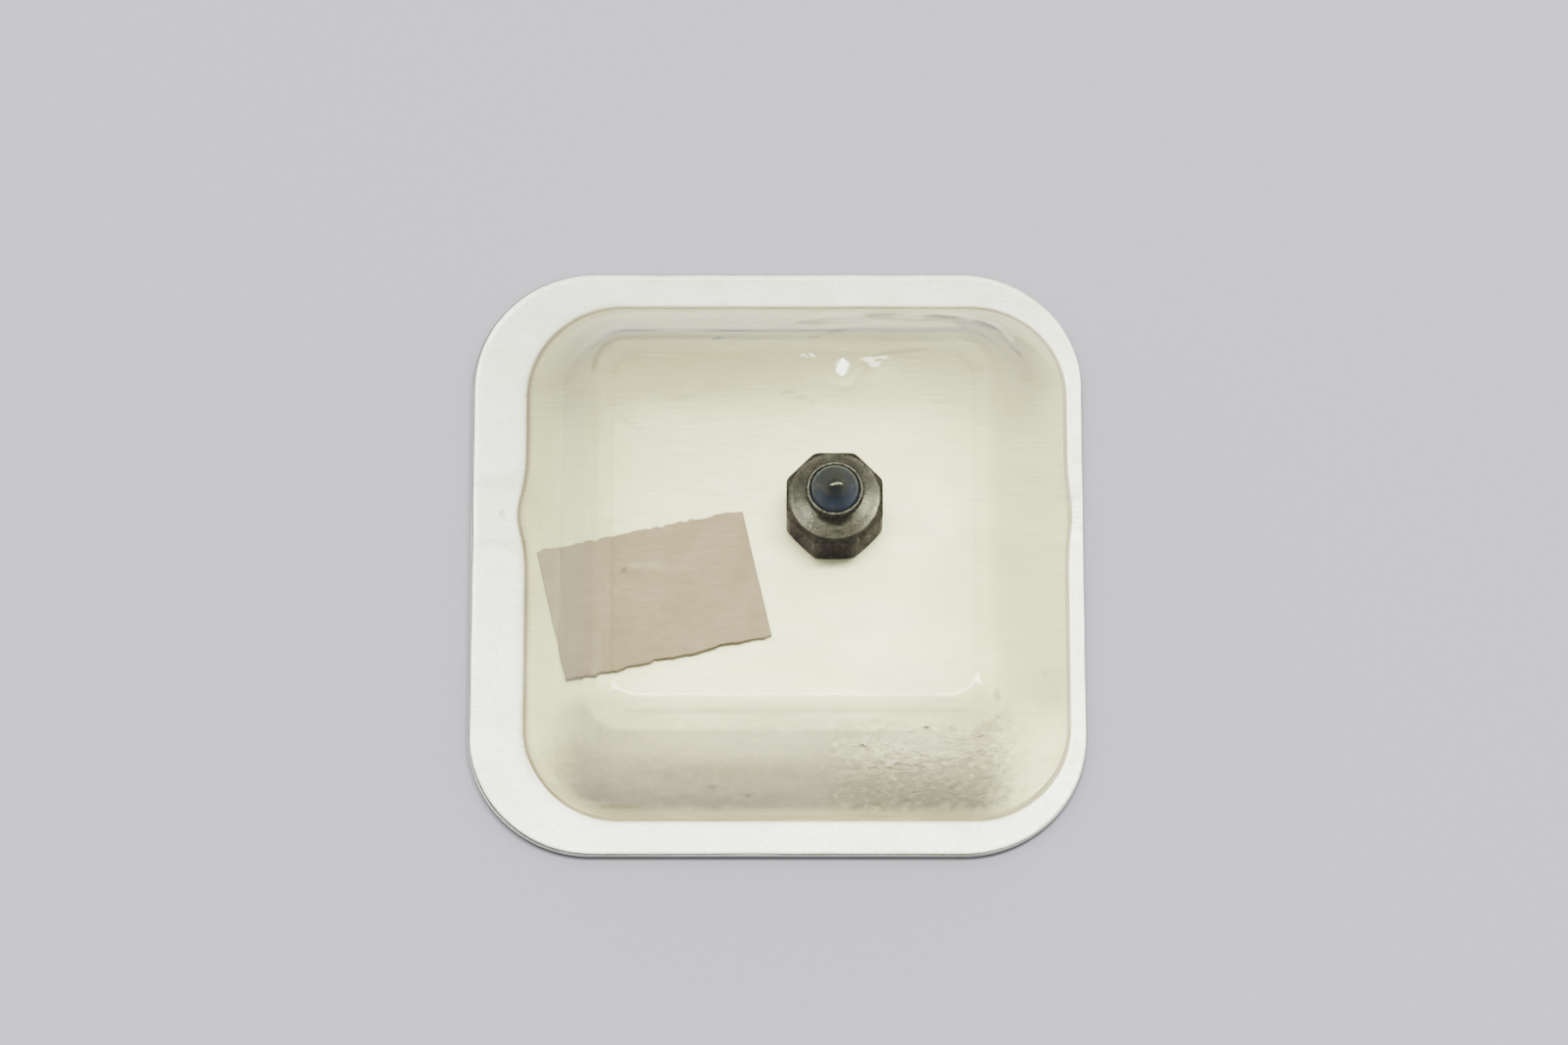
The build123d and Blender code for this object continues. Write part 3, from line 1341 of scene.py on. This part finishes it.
@dataclass
class PaperSlip:
    """A slip torn from a strip: two clean short sides and two ragged long ones."""

    length: float = 10.15
    width: float = 6.75
    thickness: float = 0.16
    turn: float = 12.6
    cells: tuple[int, int] = (150, 100)
    lift: float = 0.16
    fray_at: float = 2.9
    fibres: int = 170
    fibre_radius: float = 0.012

    def __post_init__(self) -> None:
        """Read the slip's place from the frame."""
        low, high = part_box("paper_slip")
        middle = (low + high) / 2 / MM
        self.middle = Vector((middle.x, middle.y, low.z / MM))

    def edge_at(self, x: float, side: float) -> float:
        """Where a torn long edge runs, off its straight line, at a place along the slip.

        Args:
            x: place along the slip from its middle.
            side: 1 for the back edge and -1 for the front one.

        Returns:
            How far out the edge is.
        """
        tear = 0.14 * ripple(x, side * 9, 1.1, 1.0) + 0.09 * ripple(x, side * 9, 0.3, 2.0)
        near_fold = bell(x + self.fray_at, 0.7)
        return tear + 0.2 * near_fold * ripple(x, side * 5, 0.16, 4.0) - 0.05 * ease(-1, 5, x)

    def height_at(self, x: float, y: float) -> float:
        """How far the slip's underside stands off the plate: it curls up along its front edge."""
        curl = self.lift * ease(0.2, -self.width / 2, y) * (0.75 + 0.25 * math.sin(x * 0.9))
        return 0.01 + curl + 0.05 * ease(-0.8, 0.9, ripple(x, y, 4.0, 6.0)) * ease(-5, 5, x)

    def mesh(self) -> bmesh.types.BMesh:
        """The slip's upper face, torn and curled, turned to its place.

        Returns:
            An open sheet that a Solidify modifier thickens downwards.
        """
        mesh = bmesh.new()
        bmesh.ops.create_grid(mesh, x_segments=self.cells[0], y_segments=self.cells[1], size=1)
        for vert in mesh.verts:
            u, v = vert.co.x, vert.co.y
            x = u * self.length / 2
            y = v * (self.width / 2 + self.edge_at(x, math.copysign(1, v)) * abs(v) ** 6)
            x += 0.015 * ripple(u, y, 0.5, 8.0) * abs(u) ** 6
            vert.co = (x, y, self.height_at(x, y) + self.thickness)
        self.settle(mesh)
        return mesh

    def fibre_mesh(self) -> bmesh.types.BMesh:
        """Loose fibres along the two torn edges.

        Returns:
            Thin bent three-sided rods, each rooted in the paper.
        """
        mesh = bmesh.new()
        for i in range(self.fibres):
            side = 1 if i % 2 else -1
            wild = 2 * noise.cell_vector(Vector((i + 0.5, 0.5, 0.5))) - Vector((1, 1, 1))
            x = self.length * 0.49 * (2 * (i + 0.5) / self.fibres - 1 + 0.02 * wild.x)
            y = side * (self.width / 2 + self.edge_at(x, side) - 0.05)
            root = Vector((x, y, self.height_at(x, y) + self.thickness * 0.5))
            reach = 0.12 + 0.12 * abs(wild.y)
            tip = Vector((0.6 * wild.x, side, 0.3 * wild.z)).normalized() * reach
            bend = Vector((0.25 * wild.z, 0, 0.1 * wild.x)) * reach
            rod = bmesh.ops.create_cone(
                mesh,
                cap_ends=True,
                segments=3,
                radius1=self.fibre_radius,
                radius2=self.fibre_radius * 0.5,
                depth=1.0,
            )["verts"]
            turn = Vector((0, 0, 1)).rotation_difference(tip).to_matrix()
            for vert in rod:
                along = vert.co.z + 0.5
                flat = Vector((vert.co.x, vert.co.y, 0))
                vert.co = root + turn @ flat + tip * along + bend * along * along
        self.settle(mesh)
        bmesh.ops.recalc_face_normals(mesh, faces=mesh.faces)
        return mesh

    def settle(self, mesh: bmesh.types.BMesh) -> None:
        """Turn a mesh and lay it on the plate."""
        matrix = Matrix.Translation(self.middle) @ Matrix.Rotation(math.radians(self.turn), 4, "Z")
        bmesh.ops.transform(mesh, matrix=matrix, verts=mesh.verts)

    def build(self, workshop: Workshop) -> None:
        """Make the slip and its fibres.

        Args:
            workshop: finishes the pieces.
        """
        paper = SlipPaper().build()
        sheet = workshop.finish(
            "torn_slip", self.mesh(), paper, Body.SLIP, "paper_slip", "slip_paper", 60
        )
        wall = sheet.modifiers.new("paper_thickness", "SOLIDIFY")
        wall.thickness = self.thickness * MM
        wall.offset = -1
        workshop.finish("slip_fibres", self.fibre_mesh(), paper, Body.SLIP, None, "slip_paper", 60)


# --- Crown --------------------------------------------------------------------------------


@dataclass
class Crown:
    """The eight-sided crown with its stone, and the seal and post inside it.

    Heights are over the plate, on the crown's own upright axis.
    """

    flats: float = 4.7
    sides: int = 8
    prism_h: float = 2.6
    milled_from: float = 1.7
    edge_round: float = 0.05
    edge_wear: float = 0.12
    rim_wear: float = 0.1
    steps: int = 160
    stone_r: float = 1.2
    stone_base: float = 3.4
    girdle: float = 0.3
    stone_top: float = 4.7
    tap_r: float = 0.45
    thread_pitch: float = 0.225
    thread_depth: float = 0.06

    def __post_init__(self) -> None:
        """Read the crown's axis from the frame."""
        low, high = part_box("crown_cap")
        self.axis = Vector(((low.x + high.x) / 2, (low.y + high.y) / 2, low.z)) / MM

    def cap_mesh(self) -> bmesh.types.BMesh:
        """The crown's body: a turned blank, milled to its flats.

        Returns:
            A closed mesh whose `edge` attribute is high on its worn edges.
        """
        blank = self.flats / 2 / math.cos(math.pi / self.sides) - 0.03
        outline = round_profile(
            (
                (0.71, 2.75, 0),
                (0.71, 2.1, 0.02),
                (1.35, 2.1, 0.05),
                (1.35, 1.55, 0.03),
                (1.65, 1.55, 0.03),
                (1.65, 0.0, 0.06),
                (blank - 0.12, 0.0, 0.05),
                (blank, 0.18, 0.06),
                (blank, 0.9, 0),
                (blank, 1.6, 0),
                (blank, 2.26, 0.06),
                (2.2, self.prism_h, 0.1),
                (1.75, 2.7, 0.1),
                (1.25, 2.8, 0.12),
                (1.2, 3.2, 0),
                (0.0, 3.2, 0),
            )
        )
        outline = [(0.0, 2.75)] + outline
        mesh = turned(outline, self.axis, self.steps)
        edge = mesh.verts.layers.float.new("edge")
        for vert in mesh.verts:
            local = vert.co - self.axis
            radius = math.hypot(local.x, local.y)
            if radius < self.milled_from:
                continue
            turn = math.atan2(local.y, local.x)
            face = round(turn / (math.tau / self.sides)) * math.tau / self.sides
            flat = self.flats / 2 / math.cos(turn - face)
            milled = soft_min(radius, flat, self.edge_round)
            corner = 1 - min(abs(radius - flat) / self.edge_wear, 1)
            rim = 1 - min(abs(local.z - self.prism_h) / self.rim_wear, 1)
            vert[edge] = max(corner, rim) * (0.6 + 0.4 * ripple(vert.co.x, vert.co.y + local.z, 0.5))
            vert.co.x = self.axis.x + local.x * milled / radius
            vert.co.y = self.axis.y + local.y * milled / radius
        return mesh

    @staticmethod
    def densified(profile: Iterable[Point], gap: float) -> list[Point]:
        """Add points to an outline so that none are further apart than the gap.

        Args:
            profile: the outline's points.
            gap: the widest gap allowed.

        Returns:
            The outline with its added points.
        """
        points = list(profile)
        dense = [points[0]]
        for a, b in zip(points, points[1:]):
            pieces = max(1, math.ceil(math.dist(a, b) / gap))
            dense += [
                (a[0] + (b[0] - a[0]) * i / pieces, a[1] + (b[1] - a[1]) * i / pieces)
                for i in range(1, pieces + 1)
            ]
        return dense

    def collet_mesh(self) -> bmesh.types.BMesh:
        """The cup that holds the stone, with a rolled lip and a groove under it.

        Returns:
            A closed mesh.
        """
        wall = self.stone_r + 0.02
        outline = round_profile(
            (
                (0.0, 3.2, 0),
                (1.2, 3.2, 0.02),
                (1.34, 3.3, 0.06),
                (1.44, 3.44, 0.06),
                (1.44, 3.62, 0.06),
                (1.36, 3.76, 0.05),
                (wall + 0.03, 3.76, 0.03),
                (wall, 3.66, 0.02),
                (wall, 3.35, 0.02),
                (0.0, 3.35, 0),
            )
        )
        mesh = turned(outline, self.axis, self.steps)
        edge = mesh.verts.layers.float.new("edge")
        for vert in mesh.verts:
            local = vert.co - self.axis
            lip = ease(3.6, 3.74, local.z)
            vert[edge] = lip * (0.12 + 0.1 * ripple(local.x, local.y, 0.4))
        return mesh

    def stone_mesh(self) -> bmesh.types.BMesh:
        """The cabochon, with its `rim` attribute growing towards its girdle and its front, where it paints
        a glow.

        Returns:
            A closed mesh.
        """
        rise = self.stone_top - self.stone_base - self.girdle
        sphere = (self.stone_r**2 + rise**2) / (2 * rise)
        widest = math.asin(self.stone_r / sphere)
        dome = [
            (sphere * math.sin(widest * i / 40), self.stone_top - sphere * (1 - math.cos(widest * i / 40)))
            for i in range(41)
        ]
        outline = dome + [(self.stone_r, self.stone_base + 0.05), (self.stone_r - 0.05, self.stone_base)]
        mesh = turned(outline + [(0.0, self.stone_base)], self.axis, self.steps)
        rim = mesh.verts.layers.float.new("rim")
        for vert in mesh.verts:
            local = vert.co - self.axis
            out = math.hypot(local.x, local.y) / self.stone_r
            # The painted glow is strongest at the front.
            front = 0.5 - 0.5 * local.y / self.stone_r
            vert[rim] = ease(0.35, 1.0, out) * (0.35 + 0.65 * front)
        return mesh

    def post_mesh(self) -> bmesh.types.BMesh:
        """The stem post, with a real helical thread cut in its tapped hole.

        Returns:
            A closed mesh.
        """
        outline = round_profile(
            (
                (0.0, 2.75, 0),
                (0.7, 2.75, 0.04),
                (0.7, 0.3, 0.08),
                (self.tap_r + 0.05, 0.3, 0.02),
                (self.tap_r, 0.38, 0.02),
                (self.tap_r, 2.1, 0.02),
                (0.0, 2.2, 0),
            )
        )
        mesh = turned(self.densified(outline, self.thread_pitch / 6), self.axis, 96)
        for vert in mesh.verts:
            local = vert.co - self.axis
            radius = math.hypot(local.x, local.y)
            if abs(radius - self.tap_r) > 0.01 or not 0.4 < local.z < 2.05:
                continue
            turn = math.atan2(local.y, local.x) / math.tau
            phase = (local.z / self.thread_pitch - turn) % 1
            cut = self.thread_depth * (1 - abs(2 * phase - 1)) * ease(0.4, 0.5, local.z)
            vert.co.x = self.axis.x + local.x * (radius + cut) / radius
            vert.co.y = self.axis.y + local.y * (radius + cut) / radius
        return mesh

    def gasket_mesh(self) -> bmesh.types.BMesh:
        """The O-ring, a little flattened where it presses on its seat.

        Returns:
            A closed mesh.
        """
        loop = [
            (1.39 + 0.22 * math.cos(math.tau * i / 24), 1.28 + 0.21 * math.sin(math.tau * i / 24))
            for i in range(24)
        ]
        return turned(loop, self.axis, 96)

    def retainer_mesh(self) -> bmesh.types.BMesh:
        """The flat ring that holds the O-ring in, with broken edges.

        Returns:
            A closed mesh.
        """
        corners = ((1.2, 0.75), (1.63, 0.75), (1.63, 1.0), (1.2, 1.0))
        mesh = turned(corners, self.axis, 96)
        sharp = [e for e in mesh.edges if e.calc_face_angle(0.0) > 1]
        bmesh.ops.bevel(
            mesh, geom=sharp, affect="EDGES", offset=0.03, segments=2, profile=0.5, material=-1
        )
        return mesh

    def cement_mesh(self) -> bmesh.types.BMesh:
        """The cement bed, with a meniscus up the collet's wall."""
        outline = ((0.0, 3.352), (1.17, 3.352), (1.195, 3.398), (1.12, 3.395), (0.0, 3.39))
        return turned(outline, self.axis, 96)

    def build(self, workshop: Workshop) -> None:
        """Make the crown's pieces.

        Args:
            workshop: finishes the pieces.
        """
        steel = WornSteel().build()
        turned_steel = Plain(
            "turned_steel", "#B4B0A8", "#8C887F", metallic=1.0, roughness=0.28, grain_size=0.08
        ).build()
        rubber = Plain(
            "nitrile_rubber", "#1C1C1B", "#101010", roughness=0.7, ior=1.52, grain_size=0.06, relief=0.003
        ).build()
        brass = Plain(
            "turned_brass", "#C9AE6A", "#A88C4B", metallic=1.0, roughness=0.3, grain_size=0.1
        ).build()
        cement = Plain("shellac_cement", "#5C5040", "#40372B", ior=1.52, grain_size=0.1).build()
        stone = BlueStone().build()
        jobs: tuple[tuple[str, Callable[[], bmesh.types.BMesh], bpy.types.Material, str, str], ...] = (
            ("milled_cap", self.cap_mesh, steel, "crown_cap", "crown_steel"),
            ("stone_cup", self.collet_mesh, steel, "stone_collet", "crown_steel"),
            ("cabochon", self.stone_mesh, stone, "cabochon_stone", "blue_stone"),
            ("cement_bed", self.cement_mesh, cement, "stone_cement", "stone_cement"),
            ("tapped_post", self.post_mesh, turned_steel, "stem_post", "post_steel"),
            ("o_ring", self.gasket_mesh, rubber, "tube_gasket", "gasket_rubber"),
            ("retaining_ring", self.retainer_mesh, brass, "gasket_retainer", "retainer_brass"),
        )
        for name, make, material, node, slot in jobs:
            workshop.finish(name, make(), material, Body.CROWN, node, slot, 40)


# --- Studio -------------------------------------------------------------------------------


@dataclass(frozen=True)
class StudioPaper(Finish):
    """Matt pale card that the pack lies on."""

    name: str = "pale_card"
    light: str = "#D2D0E0"
    dark: str = "#CAC8D8"

    def surface(self, tree: bpy.types.NodeTree) -> Shader:
        """Matt card with a faint tooth.

        Args:
            tree: the material's nodes.

        Returns:
            The surface's shader.
        """
        tooth = self.grain(tree, self.place(tree), 0.5, 1.0)
        colour = self.tint(tree, tooth, srgb(self.dark), srgb(self.light))
        return add(tree, "BsdfDiffuse", {"Color": colour}).outputs[0]


@dataclass(frozen=True)
class FlatLamp:
    """A flat lamp: its direction from the pack, how far off it hangs, its size and its power."""

    name: str
    way: tuple[float, float, float]
    distance: float
    size: Point
    watts: float
    colour: str = "#FDFFF8"

    def hang(self) -> None:
        """Hang the lamp, facing the pack."""
        light = bpy.data.lights.new(self.name, "AREA")
        light.shape = "RECTANGLE" if self.size[0] > self.size[1] else "ELLIPSE"
        light.size, light.size_y = (side * MM for side in self.size)
        light.energy = self.watts
        light.color = srgb(self.colour)[:3]
        holder = bpy.data.objects.new(self.name, light)
        straight = Vector(self.way).normalized()
        holder.location = straight * self.distance * MM
        holder.rotation_euler = straight.to_track_quat("Z", "Y").to_euler()
        bpy.context.scene.collection.objects.link(holder)


@dataclass
class Studio:
    """Floor, soft light and camera. Distances are millimetres.

    A long tube hangs overhead, a little behind the pack, and a small lamp on its right.
    """

    elevation: float = 70.8
    distance: float = 350.0
    aim: tuple[float, float, float] = (0.33, 2.17, 0.0)
    lens: float = 164.0
    sensor: float = 36.0
    floor_half: float = 900.0
    lamps: tuple[FlatLamp, ...] = (
        FlatLamp("tube", (-0.03, 0.175, 0.984), 600.0, (450.0, 80.0), 2.6),
        FlatLamp("key", (0.42, 0.205, 0.885), 420.0, (60.0, 60.0), 0.5),
    )
    walls: str = "#FFFDF8"
    ceiling: str = "#5E5C56"
    sky_strength: float = 1.78
    wall_fades: tuple[tuple[str, float, float], ...] = (("Z", 0.93, 0.7), ("Y", -0.9, 0.1))

    def floor(self) -> None:
        """Lay the card."""
        mesh = bmesh.new()
        bmesh.ops.create_grid(mesh, x_segments=8, y_segments=8, size=self.floor_half * MM)
        data = bpy.data.meshes.new("floor")
        mesh.to_mesh(data)
        mesh.free()
        data.materials.append(StudioPaper().build())
        card = bpy.data.objects.new("floor", data)
        bpy.context.scene.collection.objects.link(card)

    def sky(self) -> None:
        """A room whose walls are lighter than its ceiling and its near side."""
        world = bpy.data.worlds.new("soft_room")
        world.use_nodes = True
        tree = world.node_tree
        tree.nodes.clear()
        way = add(tree, "SeparateXYZ", {0: add(tree, "TexCoord").outputs["Generated"]})
        share = 1.0
        for axis, low, high in self.wall_fades:
            inputs = {"Value": way.outputs[axis], "From Min": low, "From Max": high}
            fade = add(tree, "MapRange", inputs, interpolation_type="SMOOTHSTEP").outputs[0]
            share = Finish.combined(tree, "MULTIPLY", share, fade)
        colour = Finish.tint(tree, share, srgb(self.ceiling), srgb(self.walls))
        back = add(tree, "Background", {"Color": colour, "Strength": self.sky_strength}).outputs[0]
        add(tree, "OutputWorld", {"Surface": back})
        bpy.context.scene.world = world

    def camera(self) -> None:
        """A long lens that looks steeply down from the front."""
        lens = bpy.data.cameras.new("camera")
        lens.lens = self.lens
        lens.sensor_width = self.sensor
        lens.clip_start = 0.01
        holder = bpy.data.objects.new("camera", lens)
        tilt = math.radians(self.elevation)
        back = Vector((0, -math.cos(tilt), math.sin(tilt)))
        holder.location = (Vector(self.aim) + back * self.distance) * MM
        holder.rotation_euler = back.to_track_quat("Z", "Y").to_euler()
        bpy.context.scene.collection.objects.link(holder)
        bpy.context.scene.camera = holder

    def build(self) -> None:
        """Set up the whole studio."""
        self.floor()
        self.sky()
        for lamp in self.lamps:
            lamp.hang()
        self.camera()


def main() -> None:
    """Build the pack, the slip, the crown and the studio."""
    logging.basicConfig(level=logging.INFO, format="%(name)s: %(message)s")
    workshop = Workshop()
    Studio().build()
    BackingPlate().build(workshop)
    FilmDome().build(workshop)
    PaperSlip().build(workshop)
    Crown().build(workshop)
    LOG.info("%d pieces made", len(workshop.made))


if __name__ == "__main__":
    main()
